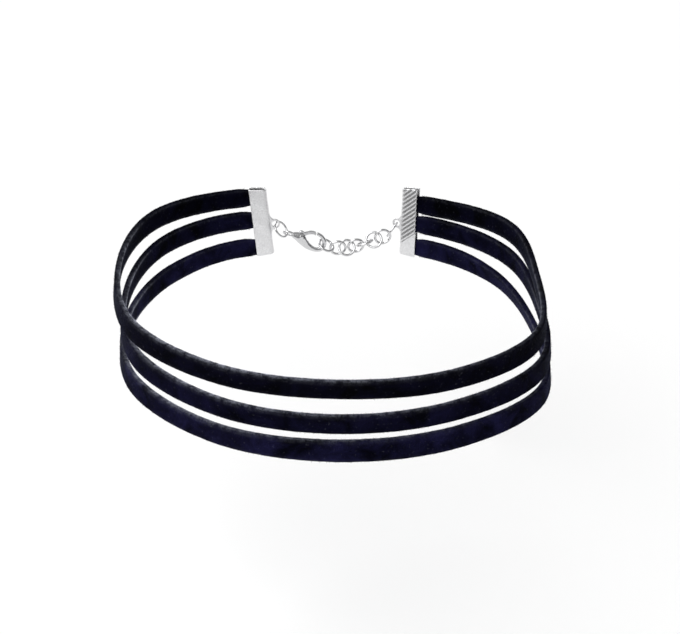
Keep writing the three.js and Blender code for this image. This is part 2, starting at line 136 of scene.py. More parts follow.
# How strong the painted sheen on the inner edge is along a ribbon, by bearing from the throat in
# degrees: strongest at the front left, where the light falls, and faded away at the back
EDGE_BEARINGS = (-150, -110, -80, -45, 0, 50, 100, 150)
EDGE_PAINTED_SHEEN = (0.01, 0.03, 0.55, 1.8, 0.95, 0.28, 0.03, 0.01)
# Loose fibres: where they start, the share on the faces, how they are combed and tangled, the
# shortest as a share of the longest, their thickness and root, and how strong their painted sheen
# is
PILE_START, PILE_ON_FACES = 1.2, 0.16
PILE_COMBED, PILE_TANGLE = (0.35, 0.4), 0.35
PILE_SHORTEST, PILE_THICKNESS = 0.3, (0.024, 0.042)
PILE_ROOT, PILE_PAINTED_SHEEN = 0.08, 1.25
RIBBON_SEED, PILE_SEED = 10, 20
# Angles in degrees over which an edge is shaded as a crease, by finish
CREASES = {"velvet_ribbon": 60, "satin_metal": 50, "bright_metal": 40}
# How narrow a link's solder seam is, and a casting's smoothing
SEAM_NARROWNESS = 3
SOFTENING = {"factor": 0.5, "iterations": 3}


def length(name, text, default, most=0.2):
    """A length in the panel, in metres"""
    return FloatProperty(
        name=name, description=text, default=default, min=0, max=most,
        precision=5, unit="LENGTH", subtype="DISTANCE",
    )


def colour(name, text, default):
    """A colour in the panel"""
    return FloatVectorProperty(
        name=name, description=text, default=default, size=3, min=0, max=1, subtype="COLOR",
    )


def strength(name, text, default):
    """How strong a light is, in the panel"""
    return FloatProperty(name=name, description=text, default=default, min=0)


class RibbonSizes(bpy.types.PropertyGroup):
    loop_radius: length("Loop radius", "Middle of the neck to the bands", 0.055)
    spacing: length("Band spacing", "Height from band to band", 0.0082)
    width: length("Ribbon width", "Edge to edge of one ribbon", 0.005)
    thickness: length("Ribbon thickness", "Backing and pile together", 0.0014)
    pinched: length("Pinched thickness", "Thickness inside a clamp", 0.001)
    overhang: length("Pile overhang", "How far the pile swells past an edge", 0.0003)
    pile_length: length("Pile length", "How far the longest fibres stand out", 0.00042)
    pile_count: IntProperty(
        name="Loose fibres", description="Fibres that stand proud of one ribbon",
        default=15000, min=0,
    )
    face_colour: colour("Velvet colour", "Colour of the pile", (0.0016, 0.0015, 0.0062))
    # The colour of the painted sheen along the edges, and of lint flecks
    sheen_and_lint_colour: colour("Edge colour", "Pile where it turns over the edge", (0.5, 0.52, 0.62))


class ClampSizes(bpy.types.PropertyGroup):
    length: length("Clamp length", "Along the fold", 0.021)
    depth: length("Clamp depth", "Mouth to fold", 0.005)
    sheet: length("Sheet thickness", "Thickness of the metal", 0.00045)
    clearance: length("Slot clearance", "Gap on each side of the ribbon", 0.00025)
    taper: length("Fold taper", "How much shorter the fold is at each end", 0.0004)
    corner: length("Corner radius", "Rounding of the fold's corners", 0.0008)
    ridge_pitch: length("Ridge pitch", "Step from ridge to ridge along the clamp", 0.00135)
    ridge_radius: length("Ridge radius", "Radius of a pressed ridge", 0.00042)
    ridge_height: length("Ridge height", "How far a ridge stands proud", 0.00024)
    ridge_angle: FloatProperty(
        name="Ridge angle", description="Slope of the ridges",
        default=radians(40), subtype="ANGLE",
    )
    ridged_share: FloatProperty(
        name="Ridged share", description="Share of the clamp that is ridged", default=0.62,
        min=0, max=1, subtype="FACTOR",
    )
    scallop: length("Scallop depth", "Depth of the waves in the ridged mouth", 0.00022)
    metal_colour: colour("Satin metal", "Colour of the clamps", (0.9, 0.9, 0.91))


class ChainSizes(bpy.types.PropertyGroup):
    clasp_length: length("Clasp length", "Tail ring to hook", 0.014)
    clasp_width: length("Clasp width", "Across the hook", 0.006)
    clasp_thickness: length("Clasp thickness", "Through the pivot", 0.0026)
    lever_thickness: length("Lever thickness", "Thickness of the sprung lever", 0.0011)
    tail_outer: length("Tail ring", "Outside of the clasp's tail ring", 0.0036)
    tail_wire: length("Tail wire", "Wire of the clasp's tail ring", 0.0007)
    jump_outer: length("Jump ring", "Outside of a jump ring", 0.0055)
    jump_wire: length("Jump ring wire", "Wire of a jump ring", 0.0006)
    link_outer: length("Link", "Outside of a chain link", 0.0054)
    link_wire: length("Link wire", "Wire of a chain link", 0.00076)
    metal_colour: colour("Bright metal", "Colour of the chain and clasp", (0.7, 0.7, 0.71))


class StudioSettings(bpy.types.PropertyGroup):
    floor_drop: length("Floor drop", "Height of the choker's middle over the floor", 0.09, 1)
    key_strength: strength("Key light", "Strength of the key light", 1.75)
    rim_strength: strength("Rim light", "Strength of the light from behind", 1.5)
    world_strength: strength("Surroundings", "Brightness of the surroundings", 0.4)
    floor_colour: colour("Floor colour", "Colour of the pale floor", (0.96, 0.96, 0.96))


def mm(value):
    """A panel length in millimetres"""
    return value / MM


# Curves and frames, in millimetres

def smooth_curve(rows):
    """A smooth curve through rows that begin with x, y, z: a function of distance, and length"""
    rows = np.array(rows, float)
    steps = np.linalg.norm(np.diff(rows[:, :3], axis=0), axis=1)
    run = np.concatenate([[0], np.cumsum(steps)])
    rise = np.diff(rows, axis=0) / steps[:, None]
    slopes = np.empty_like(rows)
    slopes[0], slopes[-1] = rise[0], rise[-1]
    before, after = steps[:-1, None], steps[1:, None]
    slopes[1:-1] = (rise[:-1] * after + rise[1:] * before) / (before + after)

    def at(distance):
        distance = np.atleast_1d(np.asarray(distance, float))
        i = np.clip(np.searchsorted(run, distance, side="right") - 1, 0, len(steps) - 1)
        wide = steps[i][:, None]
        t = (distance - run[i])[:, None] / wide
        return (
            (2 * t**3 - 3 * t**2 + 1) * rows[i]
            + (t**3 - 2 * t**2 + t) * wide * slopes[i]
            + (3 * t**2 - 2 * t**3) * rows[i + 1]
            + (t**3 - t**2) * wide * slopes[i + 1]
        )

    return at, run[-1]


def unit(vectors):
    """The same vectors, one long"""
    return vectors / np.linalg.norm(vectors, axis=-1, keepdims=True)


def clamp_frame(name, sizes):
    """The clamp's frame: x in from the mouth to the fold, y through the plates, z along"""
    row = CLAMP_ROWS[name]
    heading, dip, lean, bearing = (radians(row[k]) for k in ("heading", "dip", "lean", "bearing"))
    inwards = Vector((cos(heading) * cos(dip), sin(heading) * cos(dip), -sin(dip)))
    side = Vector((-sin(heading), cos(heading), 0))
    outwards = side if side.y > 0 else -side
    along = inwards.cross(side) * cos(lean) + outwards * sin(lean)
    through = along.cross(inwards)
    reach = mm(sizes.loop_radius) * row["reach"]
    place = Vector((reach * sin(bearing), -reach * cos(bearing), mm(sizes.spacing) * row["rise"]))
    turn = Matrix((inwards, through, along)).transposed().to_4x4()
    return Matrix.Translation(place) @ turn


def frame_between(start, end, turn):
    """x from start to end, z towards the throat side, then turned about x"""
    x = (end - start).normalized()
    y = Vector((0, -1, 0)).cross(x).normalized()
    z = x.cross(y)
    return Matrix((x, y, z)).transposed().to_4x4() @ Matrix.Rotation(radians(turn), 4, "X")


# Meshes

def combine(*shapes):
    """Several (points, faces) shapes as one"""
    points, faces, first = [], [], 0
    for some, sides in shapes:
        points.append(np.asarray(some, float))
        faces += [tuple(first + k for k in side) for side in sides]
        first += len(some)
    return np.concatenate(points), faces


def placed(shape, matrix):
    """A shape moved by a matrix"""
    turn = np.array(matrix, float)
    return np.asarray(shape[0]) @ turn[:3, :3].T + turn[:3, 3], shape[1]


def grid_faces(rows, columns, wrap_rows=False, wrap_columns=False):
    """Quads of a grid of points, row by row"""
    down = np.arange(rows if wrap_rows else rows - 1)[:, None]
    over = np.arange(columns if wrap_columns else columns - 1)[None, :]
    below, right = (down + 1) % rows, (over + 1) % columns
    corners = ((down, over), (down, right), (below, right), (below, over))
    quads = [row * columns + column for row, column in corners]
    return [tuple(q) for q in np.stack(quads, -1).reshape(-1, 4).tolist()]


def tube(rings):
    """A closed skin through rings of points, capped at both ends"""
    count, around = rings.shape[:2]
    faces = grid_faces(count, around, wrap_columns=True)
    last = (count - 1) * around
    faces.append(tuple(reversed(range(around))))
    faces.append(tuple(range(last, last + around)))
    return rings.reshape(-1, 3), faces


def wire_ring(outer, wire, around, section, seam=0.0, split=0.0, split_at=0.0):
    """A round wire ring in the xy plane, with a solder seam or a split"""
    middle = (outer - wire) / 2
    open_ring = split > 0
    half_gap = split / middle / 2
    span = np.linspace(half_gap, 2 * pi - half_gap, around, endpoint=open_ring)
    turn = (span + split_at)[:, None]
    round_wire = np.linspace(0, 2 * pi, section, endpoint=False)[None, :]
    away = (span[:, None] + pi) % (2 * pi) - pi
    swell = seam * np.exp(-((away * middle / wire) ** 2) * SEAM_NARROWNESS)
    thick = wire / 2 * (1 + swell)
    reach = middle + thick * np.cos(round_wire)
    rings = np.stack([
        reach * np.cos(turn), reach * np.sin(turn),
        thick * np.sin(round_wire) * np.ones_like(turn),
    ], -1)
    faces = tube(rings)[1] if open_ring else grid_faces(around, section, True, True)
    return rings.reshape(-1, 3), [tuple(reversed(side)) for side in faces]


def adjusted(thing, **settings):
    """The same thing with these settings"""
    for key, value in settings.items():
        setattr(thing, key, value)
    return thing


def flat_plate(outline, holes, thickness, edge, steps=3):
    """A plate in the xy plane with rounded edges, from its outline and holes"""
    curve = adjusted(
        bpy.data.curves.new("outline", "CURVE"), dimensions="2D", fill_mode="BOTH",
        extrude=thickness / 2 - edge, bevel_depth=edge, bevel_resolution=steps, offset=-edge,
    )
    for loop in [outline, *holes]:
        spline = curve.splines.new("POLY")
        spline.points.add(len(loop) - 1)
        for point, (x, y) in zip(spline.points, loop):
            point.co = (x, y, 0, 1)
        spline.use_cyclic_u = True
    holder = bpy.data.objects.new("outline", curve)
    bpy.context.collection.objects.link(holder)
    shape = evaluated_shape(holder)
    bpy.data.objects.remove(holder)
    bpy.data.curves.remove(curve)
    return shape


def evaluated_shape(piece):
    """The points and faces of an object with its modifiers"""
    bpy.context.view_layer.update()
    changed = piece.evaluated_get(bpy.context.evaluated_depsgraph_get())
    made = bpy.data.meshes.new_from_object(changed)
    points = np.array([v.co for v in made.vertices], float)
    faces = [tuple(p.vertices) for p in made.polygons]
    bpy.data.meshes.remove(made)
    return points, faces


def bare_object(name, points, faces):
    """A plain object in the scene"""
    mesh = bpy.data.meshes.new(name)
    mesh.from_pydata(np.asarray(points).tolist(), [], faces)
    made = bpy.data.objects.new(name, mesh)
    bpy.context.scene.collection.objects.link(made)
    return made


def cast(shape, voxel, knife_shape):
    """Shapes run together as one casting, cut by another shape, its edges softened"""
    made, knife = bare_object("casting", *shape), bare_object("cutter", *knife_shape)
    joined = {"mode": "VOXEL", "voxel_size": voxel}
    cut = {"operation": "DIFFERENCE", "solver": "EXACT", "object": knife}
    for kind, settings in (
        ("REMESH", joined), ("BOOLEAN", cut), ("REMESH", joined), ("SMOOTH", SOFTENING),
    ):
        adjusted(made.modifiers.new(kind, kind), **settings)
    result = evaluated_shape(made)
    for used in (made, knife):
        bpy.data.objects.remove(used)
    return result


def new_piece(name, shape, material, slot, stands_for, body="necklace", **painted):
    """A finished piece from a shape in millimetres, riding on a body"""
    piece = bare_object(name, np.asarray(shape[0]) * MM, shape[1])
    for key, values in painted.items():
        layer = piece.data.attributes.new(key, "FLOAT", "POINT")
        layer.data.foreach_set("value", np.asarray(values, np.float32))
    piece.data.materials.append(material)
    bpy.context.view_layer.objects.active = piece
    chosen = {"object": piece, "active_object": piece, "selected_editable_objects": [piece]}
    with bpy.context.temp_override(**chosen):
        bpy.ops.object.shade_smooth_by_angle(angle=radians(CREASES[slot]))
    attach(piece, body)
    if stands_for:
        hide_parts(*stands_for)
    return piece


# Materials

class Finish:
    """A new material, with shortcuts that add nodes to it"""

    def __init__(self, name):
        self.material = bpy.data.materials.new(name)
        self.material.use_nodes = True
        self.tree = self.material.node_tree
        self.place = self.add("ShaderNodeTexCoord", {}).outputs["Object"]

    def feed(self, node, inputs):
        """Links outputs to a node's sockets, and sets the others to plain values"""
        for key, value in inputs.items():
            if isinstance(value, bpy.types.NodeSocket):
                self.tree.links.new(value, node.inputs[key])
            else:
                node.inputs[key].default_value = value

    def add(self, kind, inputs, **settings):
        """A new node with its settings and inputs"""
        node = adjusted(self.tree.nodes.new(kind), **settings)
        self.feed(node, inputs)
        return node

    def noise(self, scale, detail, roughness=0.5, distortion=0):
        """Noise that stays put on the piece"""
        return self.add("ShaderNodeTexNoise", {
            "Vector": self.place, "Scale": scale, "Detail": detail,
            "Roughness": roughness, "Distortion": distortion,
        }).outputs["Fac"]

    def painted(self, name):
        """What the piece's mesh holds under that name, point by point"""
        return self.add("ShaderNodeAttribute", {}, attribute_name=name).outputs["Fac"]

    def spread(self, value, low, high, least, most):
        """A value stretched from low and high to least and most"""
        return self.add("ShaderNodeMapRange", {
            "Value": value, "From Min": low, "From Max": high, "To Min": least, "To Max": most,
        }).outputs["Result"]

    def times(self, first, second, clamped=False):
        """Two values multiplied"""
        settings = {"operation": "MULTIPLY", "use_clamp": clamped}
        return self.add("ShaderNodeMath", {0: first, 1: second}, **settings).outputs[0]

    def mixed(self, factor, first, second, kind="MIX"):
        """Two colours mixed"""
        plugs = {0: factor, 6: first, 7: second}
        return self.add("ShaderNodeMix", plugs, data_type="RGBA", blend_type=kind).outputs[2]

    def bump(self, height, strength, depth):
        """The surface made uneven by a height"""
        plugs = {"Height": height, "Strength": strength, "Distance": depth}
        return self.add("ShaderNodeBump", plugs).outputs["Normal"]

    def surface(self, inputs):
        """Sets the main shader's sockets and gives the material"""
        self.feed(self.tree.nodes["Principled BSDF"], inputs)
        return self.material


# Noises: scale to the metre, detail, roughness, distortion
PILE_NOISE = (5200, 3, 0.7)
BRUSHED_NOISE = (150, 4, 0.6, 0.6)
LINT_NOISE = (1500, 2, 0.55)
CLUMP_NOISE = (620, 2, 0.6)
TUFT_SCALE = 2600
# The range of a noise and what it becomes: light, share of lint, breaks in the painted edge sheen,
# or roughness
BRUSHED_RANGE = (0.35, 0.68, 0.3, 2.6)
GRAIN_RANGE = (0.3, 0.72, 0.4, 1.5)
LINT_RANGE = (0.64, 0.78, 0, 0.05)
TUFT_RANGE = (0.15, 0.55, 0.35, 1.4)
CLUMP_RANGE = (0.36, 0.64, 0.3, 1.7)
ROUGH_RANGE = (0, 1, 0.82, 1)
PILE_BUMP = (0.55, 0.00012)
VELVET_SOCKETS = {
    "Specular IOR Level": 0.02, "Sheen Weight": 0.08, "Sheen Roughness": 0.22,
    "Sheen Tint": (0.45, 0.5, 0.8, 1),
}


def velvet(sizes, name, painted_band_light):
    """Velvet: near-black pile with brushed patches and lint, a painted sheen along the edge, and
    each band's painted light
    """
    finish = Finish(name)
    # edge is the colour of the painted sheen along the edges, and of the lint flecks
    face, edge = (*sizes.face_colour, 1), (*sizes.sheen_and_lint_colour, 1)
    pile = finish.noise(*PILE_NOISE)
    low, high, dim, bright = BRUSHED_RANGE
    # The brushed patches are a random tone, scaled by the band's painted light
    patches = finish.spread(finish.noise(*BRUSHED_NOISE), low, high, dim * painted_band_light, bright * painted_band_light)
    brushed = finish.mixed(1, face, patches, "MULTIPLY")
    grained = finish.mixed(1, brushed, finish.spread(pile, *GRAIN_RANGE), "MULTIPLY")
    flecked = finish.mixed(finish.spread(finish.noise(*LINT_NOISE), *LINT_RANGE), grained, edge)
    tufts = finish.add("ShaderNodeTexVoronoi", {"Vector": finish.place, "Scale": TUFT_SCALE})
    uneven = finish.times(
        finish.spread(tufts.outputs["Distance"], *TUFT_RANGE),
        finish.spread(finish.noise(*CLUMP_NOISE), *CLUMP_RANGE),
    )
    # The painted sheen: the mesh's edge values, broken into tufts and clumps, lighten the pile
    turned = finish.times(finish.painted("edge"), uneven, clamped=True)
    return finish.surface({
        "Base Color": finish.mixed(turned, flecked, edge),
        "Roughness": finish.spread(pile, *ROUGH_RANGE),
        "Normal": finish.bump(pile, *PILE_BUMP),
        **VELVET_SOCKETS,
    })


# Each plate: least and most roughness, mottling to the metre, its depth in metres, and how
# light its dullest specks are
PLATES = {
    "satin_silver_plate": (0.3, 0.55, 900, 0.00006, 0.72),
    "bright_silver_plate": (0.14, 0.26, 1400, 0.00001, 0.85),
}
CLOUD_NOISE, CLOUD_RANGE, CLOUD_BUMP = (5, 0.62), (0.3, 0.7), 0.35
SPECK_FINENESS, SPECK_RANGE = 5.5, (0.35, 0.68, 0, 1)
# How dark the painted shade in the ridges' grooves is, as a share of the metal's colour
GROOVE_SHADE = 0.3


def silver_plate(name, sizes):
    """Silver plate, mottled in its gloss and with painted shade in its grooves, made when first
    asked for
    """
    if name in bpy.data.materials:
        return bpy.data.materials[name]
    least, most, mottle, depth, dull = PLATES[name]
    finish = Finish(name)
    bright, worn, groove_shade_colour = (
        (*(share * part for part in sizes.metal_colour), 1) for share in (1, dull, GROOVE_SHADE)
    )
    cloud = finish.noise(mottle, *CLOUD_NOISE)
    speck = finish.spread(finish.noise(mottle * SPECK_FINENESS, 2), *SPECK_RANGE)
    plate = finish.mixed(speck, worn, bright)
    return finish.surface({
        "Base Color": finish.mixed(finish.painted("groove"), plate, groove_shade_colour),
        "Roughness": finish.spread(cloud, *CLOUD_RANGE, least, most),
        "Normal": finish.bump(cloud, CLOUD_BUMP, depth),
        "Metallic": 1,
    })


# The ribbons

def ribbon_path(name, ribbons):
    """Frames along one ribbon: a function of the distance run, and its length"""
    radius, spacing = mm(ribbons.loop_radius), mm(ribbons.spacing)
    thick, pinched = mm(ribbons.thickness), mm(ribbons.pinched)
    clamp_length = mm(bpy.context.scene.choker_clamps.length)

    def end_rows(clamp):
        mouth = clamp_frame(clamp, ribbons)
        row = CLAMP_ROWS[clamp]
        seat = row["seats"][name] * clamp_length
        return [
            (*(mouth @ Vector((x, 0, seat))), row["lean"], thick if x < 0 else pinched)
            for x in (PINCH_RUN, 0, -PINCH_LEAD)
        ]

    rows = end_rows("clamp_left")
    for bearing, (share, rise, lean) in zip(BAND_BEARINGS, BAND_ROWS[name]):
        turn, reach = radians(bearing), radius * share
        rows.append((reach * sin(turn), -reach * cos(turn), spacing * rise, lean, thick))
    rows += reversed(end_rows("clamp_right"))
    at, total = smooth_curve(rows)

    def frames(distance):
        row = at(distance)
        before = at(np.maximum(distance - HEADING_STEP, 0))[:, :3]
        after = at(np.minimum(distance + HEADING_STEP, total))[:, :3]
        run = unit(after - before)
        outwards = unit(np.stack([run[:, 1], -run[:, 0], np.zeros(len(run))], -1))
        up = unit(np.cross(outwards, run))
        lean = np.radians(row[:, 3])[:, None]
        over = up * np.cos(lean) + outwards * np.sin(lean)
        return row[:, :3], run, over, unit(np.cross(run, over)), np.minimum(row[:, 4], thick)

    return frames, total


def ribbon_section(width, thickness):
    """The strip cut across: points (across, through), outward directions, edge share, painted
    sheen
    """
    half, depth = width / 2, thickness / 2
    radius = min(EDGE_ROUNDING, EDGE_FULLNESS * depth)
    straight, level = half - radius, depth - radius
    points, outwards = [], []
    for quarter in range(4):
        centre = (straight * (1, 1, -1, -1)[quarter], level * (-1, 1, 1, -1)[quarter])
        for turn in np.linspace((quarter - 1) * pi / 2, quarter * pi / 2, BEND_POINTS):
            points.append((centre[0] + radius * cos(turn), centre[1] + radius * sin(turn)))
            outwards.append((cos(turn), sin(turn)))
        if quarter % 2:
            side = 1 if quarter == 1 else -1
            for across in np.linspace(side * straight, -side * straight, FACE_POINTS)[1:-1]:
                points.append((across, side * depth))
                outwards.append((0.0, side))
    points = np.array(points)
    near = np.clip((np.abs(points[:, 0]) - half + EDGE_REACH) / EDGE_REACH, 0, 1)
    # pale is a painted sheen, strongest on the inner edge and fading away from it
    from_inner = points[:, 1] + depth + np.clip(straight - np.abs(points[:, 0]), 0, None)
    return points, np.array(outwards), near**EDGE_FALLOFF, np.exp(-from_inner / EDGE_FADE)


def painted_sheen_at(middle):
    """How strong the painted sheen on the inner edge is at points of a ribbon"""
    bearing = np.degrees(np.arctan2(middle[:, 0], -middle[:, 1]))
    return np.interp(bearing, EDGE_BEARINGS, EDGE_PAINTED_SHEEN)


def ribbon_shape(name, ribbons, seed):
    """One ribbon: a flat strip with rounded edges that waver a little"""
    frames, total = ribbon_path(name, ribbons)
    ends = np.array(END_STATIONS)
    free = np.linspace(PINCH_RUN, total - PINCH_RUN, RIBBON_STATIONS)[1:-1]
    run = np.concatenate([ends, free, (total - ends)[::-1]])
    middle, _, over, out, thick = frames(run)
    random = np.random.default_rng(seed)
    waver = np.zeros((2, len(run)))
    for wave in WAVER_LENGTHS:
        phase = random.uniform(0, 2 * pi, 2)
        waver += WAVER_DEPTH * np.sin(2 * pi * run[None, :] / wave + phase[:, None])
    loose = np.clip((np.minimum(run, total - run) - PINCH_RUN) / WAVER_START, 0, 1)
    rings = []
    for i in range(len(run)):
        width = mm(ribbons.width) + 2 * mm(ribbons.overhang) * loose[i]
        points, _, edge, pale = ribbon_section(width, thick[i])
        side = np.where(points[:, 0] > 0, waver[0, i], -waver[1, i]) * loose[i] * edge
        rings.append(middle[i] + (points[:, 0] + side)[:, None] * over[i] + points[:, 1:] * out[i])
    points, faces = tube(np.array(rings))
    # The painted sheen, by bearing and by depth from the inner edge, goes into the mesh as 'edge'
    return (points, faces), np.outer(painted_sheen_at(middle), pale).ravel()


def pile_shape(name, ribbons, seed):
    """Loose fibres of the pile: thin closed spikes, most of them along the edges"""
    frames, total = ribbon_path(name, ribbons)
    random = np.random.default_rng(seed)
    count = ribbons.pile_count
    start = PINCH_RUN + PILE_START
    middle, along, over, out, _ = frames(random.uniform(start, total - start, count))
    width = mm(ribbons.width) + 2 * mm(ribbons.overhang)
    border, outwards, edge, pale = ribbon_section(width, mm(ribbons.thickness))
    following = np.roll(np.arange(len(border)), -1)
    stretch = np.linalg.norm(border[following] - border, axis=1)
    chance = stretch * (PILE_ON_FACES + (edge + edge[following]) / 2)
    spot = random.choice(len(border), count, p=chance / chance.sum())
    share = random.random(count)[:, None]
    place = border[spot] * (1 - share) + border[following[spot]] * share
    facing = outwards[spot] * (1 - share) + outwards[following[spot]] * share
    root = middle + place[:, :1] * over + place[:, 1:] * out
    away = unit(facing[:, :1] * over + facing[:, 1:] * out)
    combed = random.normal(*PILE_COMBED, count)[:, None] * along
    tangled = random.normal(0, PILE_TANGLE, (count, 3))
    point = unit(away + (combed + tangled))
    reach = mm(ribbons.pile_length) * random.uniform(PILE_SHORTEST, 1.0, count)[:, None]
    first = unit(np.cross(point, along + 0.01))
    second = np.cross(point, first)
    thin = random.uniform(*PILE_THICKNESS, count)[:, None]
    base = root - PILE_ROOT * away
    corners = [
        base + thin * (first * cos(a) + second * sin(a)) for a in (0, 2 * pi / 3, 4 * pi / 3)
    ]
    points = np.stack([*corners, root + reach * point], 1).reshape(-1, 3)
    spike = np.array([(0, 1, 3), (1, 2, 3), (2, 0, 3), (0, 2, 1)])
    faces = (np.arange(count)[:, None, None] * 4 + spike[None]).reshape(-1, 3)
    # glow is the painted sheen of the edge each fibre grows from
    glow = np.clip(PILE_PAINTED_SHEEN * pale[spot] * painted_sheen_at(middle), 0, 1)
    return (points, [tuple(f) for f in faces.tolist()]), np.repeat(glow, 4)


class CHOKER_OT_ribbons(bpy.types.Operator):
    """Make the three velvet ribbons and their pile"""

    bl_idname = "choker.ribbons"
    bl_label = "Velvet ribbons"
    bl_options = {"REGISTER", "UNDO"}

    def execute(self, context):
        ribbons = context.scene.choker_ribbons
        for number, name in enumerate(BAND_ROWS):
            place = name.removeprefix("band_")
            # Lit and shaded copies of one velvet, by each band's painted light; edge holds the
            # painted sheen
            cloth = velvet(ribbons, f"velvet_{place}", BAND_PAINTED_LIGHT[name])
            shape, edge = ribbon_shape(name, ribbons, RIBBON_SEED + number)
            new_piece(f"ribbon_{place}", shape, cloth, "velvet_ribbon", [name], edge=edge)
            fuzz = velvet(ribbons, f"fibres_{place}", BAND_PAINTED_LIGHT[name])
            shape, edge = pile_shape(name, ribbons, PILE_SEED + number)
            new_piece(f"pile_{place}", shape, fuzz, "velvet_ribbon", [], edge=edge)
        return {"FINISHED"}


# The clamps

# Points along the clamp, and round it on the ridged plate, the fold and the plain plate
LENGTH_POINTS, RIDGED_POINTS, FOLD_POINTS, PLAIN_POINTS = 250, 40, 18, 22
# How much of a corner's rounding shows, and how fast the ridges fade into the fold
CORNER_SHARE, FOLD_FADE = 0.96, 3
# The plain plate's mouth is pressed in over this share of it, and the sheet is a little uneven
LIP_SHARE, LIP_PRESS = 0.22, 0.13
UNEVEN_DEPTH, UNEVEN_RATE = 0.02, 0.9
RIDGE_DIP = 0.03
RIM_POINTS, RIM_FULLNESS = 4, 0.7


def clamp_shape(clamps, ribbons):
    """Sheet folded in a U: ridged plate at +y, plain plate at -y, and the tab on the fold"""
    depth, sheet, full = mm(clamps.depth), mm(clamps.sheet), mm(clamps.length)
    slot = mm(ribbons.pinched) + 2 * mm(clamps.clearance)
    outer = slot / 2 + sheet
    centre = slot / 2 + sheet / 2
    bend = depth - outer
    flat = depth - outer / 2
    pitch, radius = mm(clamps.ridge_pitch), mm(clamps.ridge_radius)
    slope, height = tan(clamps.ridge_angle), mm(clamps.ridge_height)
    ridge_count = clamps.ridged_share * full / pitch
    last_ridge, scallops = ceil(ridge_count) - 1, round(ridge_count)
    corner, taper = mm(clamps.corner), mm(clamps.taper)
    plate = np.linspace(0, 1, RIDGED_POINTS)
    arc = np.linspace(0, pi, FOLD_POINTS)[1:-1]
    plain = np.linspace(1, 0, PLAIN_POINTS)

    def round_sheet(on_plate, on_fold, on_plain):
        return np.concatenate([on_plate + 0 * plate, on_fold + 0 * arc, on_plain + 0 * plain])

    x = round_sheet(plate * bend, bend + centre * np.sin(arc), plain * bend)
    y = round_sheet(centre, centre * np.cos(arc), -centre)
    nx, ny = round_sheet(0, np.sin(arc), 0), round_sheet(1, np.cos(arc), -1)
    ridged = round_sheet(1, np.clip(1 - FOLD_FADE * arc / pi, 0, 1), 0)[None, :]
    near_fold = np.clip((x - (depth - corner)) / corner, 0, 1)
    rounding = corner * (1 - np.sqrt(1 - near_fold**2 * CORNER_SHARE))
    half = full / 2 - taper * x / depth - rounding
    z = np.linspace(-1, 1, LENGTH_POINTS)[:, None] * half[None, :]
    step = ((full / 2 - z) / pitch) % 1
    waves = (full / 2 - z) < scallops * pitch
    scallop = np.where(waves, 4 * mm(clamps.scallop) * step * (1 - step), 0)
    x = x[None, :] + scallop * round_sheet(1 - plate, 0, 0)[None, :]
    index = (full / 2 - pitch / 2 - slope * flat / 2 - z - slope * (x - flat / 2)) / pitch
    nearest = np.round(index)
    off = (index - nearest) * pitch * cos(clamps.ridge_angle)
    crown = np.sqrt(np.clip(radius**2 - off**2, 0, None)) - (radius - height)
    ridge = np.where(nearest <= last_ridge, np.clip(crown, -RIDGE_DIP, None), 0) * ridged
    lip = round_sheet(0, 0, np.clip((LIP_SHARE - plain) / LIP_SHARE, 0, 1))[None, :]
    press = LIP_PRESS * lip**2 * (3 - 2 * lip)
    uneven = UNEVEN_DEPTH * np.sin(z * UNEVEN_RATE + x) * (1 - ridged)

    def skin(offset, relief):
        reach = offset + relief
        return np.stack([x + nx * reach, y + ny * (reach - press), z], -1)

    outside = skin(sheet / 2, ridge + uneven)
    inside = skin(-sheet / 2, uneven)
    # Painted shade in the grooves between the ridges, kept in the mesh as 'groove'
    groove_shade_mask = (0.5 - 0.5 * np.cos(2 * pi * index)) * (nearest <= last_ridge) * ridged
    shape = combine(sheet_solid(outside, inside), tab_shape(clamps))
    groove = np.zeros(len(shape[0]))
    groove[:groove_shade_mask.size] = groove_shade_mask.ravel()
    return shape, groove


def sheet_solid(outside, inside):
    """Two skins of one sheet joined round their border by a rounded rim"""
    rows, columns = outside.shape[:2]
    count = rows * columns
    faces = grid_faces(rows, columns)
    back = [tuple(count + k for k in reversed(side)) for side in faces]
    border = (
        [(0, c) for c in range(columns)]
        + [(r, columns - 1) for r in range(1, rows)]
        + [(rows - 1, c) for c in range(columns - 2, -1, -1)]
        + [(r, 0) for r in range(rows - 2, 0, -1)]
    )
    neighbour = [(min(max(r, 1), rows - 2), min(max(c, 1), columns - 2)) for r, c in border]
    outer = np.array([outside[p] for p in border])
    inner = np.array([inside[p] for p in border])
    within = np.array([(outside[p] + inside[p]) / 2 for p in neighbour])
    middle, half = (outer + inner) / 2, (outer - inner) / 2
    away = unit(middle - within) * np.linalg.norm(half, axis=1)[:, None]
    turns = np.linspace(0, pi, RIM_POINTS + 2)[1:-1]
    rim = [middle + half * cos(t) + away * RIM_FULLNESS * sin(t) for t in turns]
    around = len(border)
    loops = [[r * columns + c for r, c in border]]
    loops += [[2 * count + k * around + i for i in range(around)] for k in range(RIM_POINTS)]
    loops.append([count + r * columns + c for r, c in border])
    sides = [
        (upper[j], upper[j - 1], lower[j - 1], lower[j])
        for upper, lower in zip(loops, loops[1:]) for j in (*range(1, around), 0)
    ]
    points = np.concatenate([outside.reshape(-1, 3), inside.reshape(-1, 3), *rim])
    return points, faces + back + sides


TAB_RADIUS, TAB_HOLE, TAB_REACH, TAB_DROP = 1.45, 0.95, 1.3, 1
TAB_THICKNESS, TAB_BASE, TAB_WAIST, TAB_ROUNDING = 0.6, 3.2, 0.3, 0.12
# How far the tab's foot goes into the fold's sheet, as a share of its thickness
TAB_FOOT = 0.6


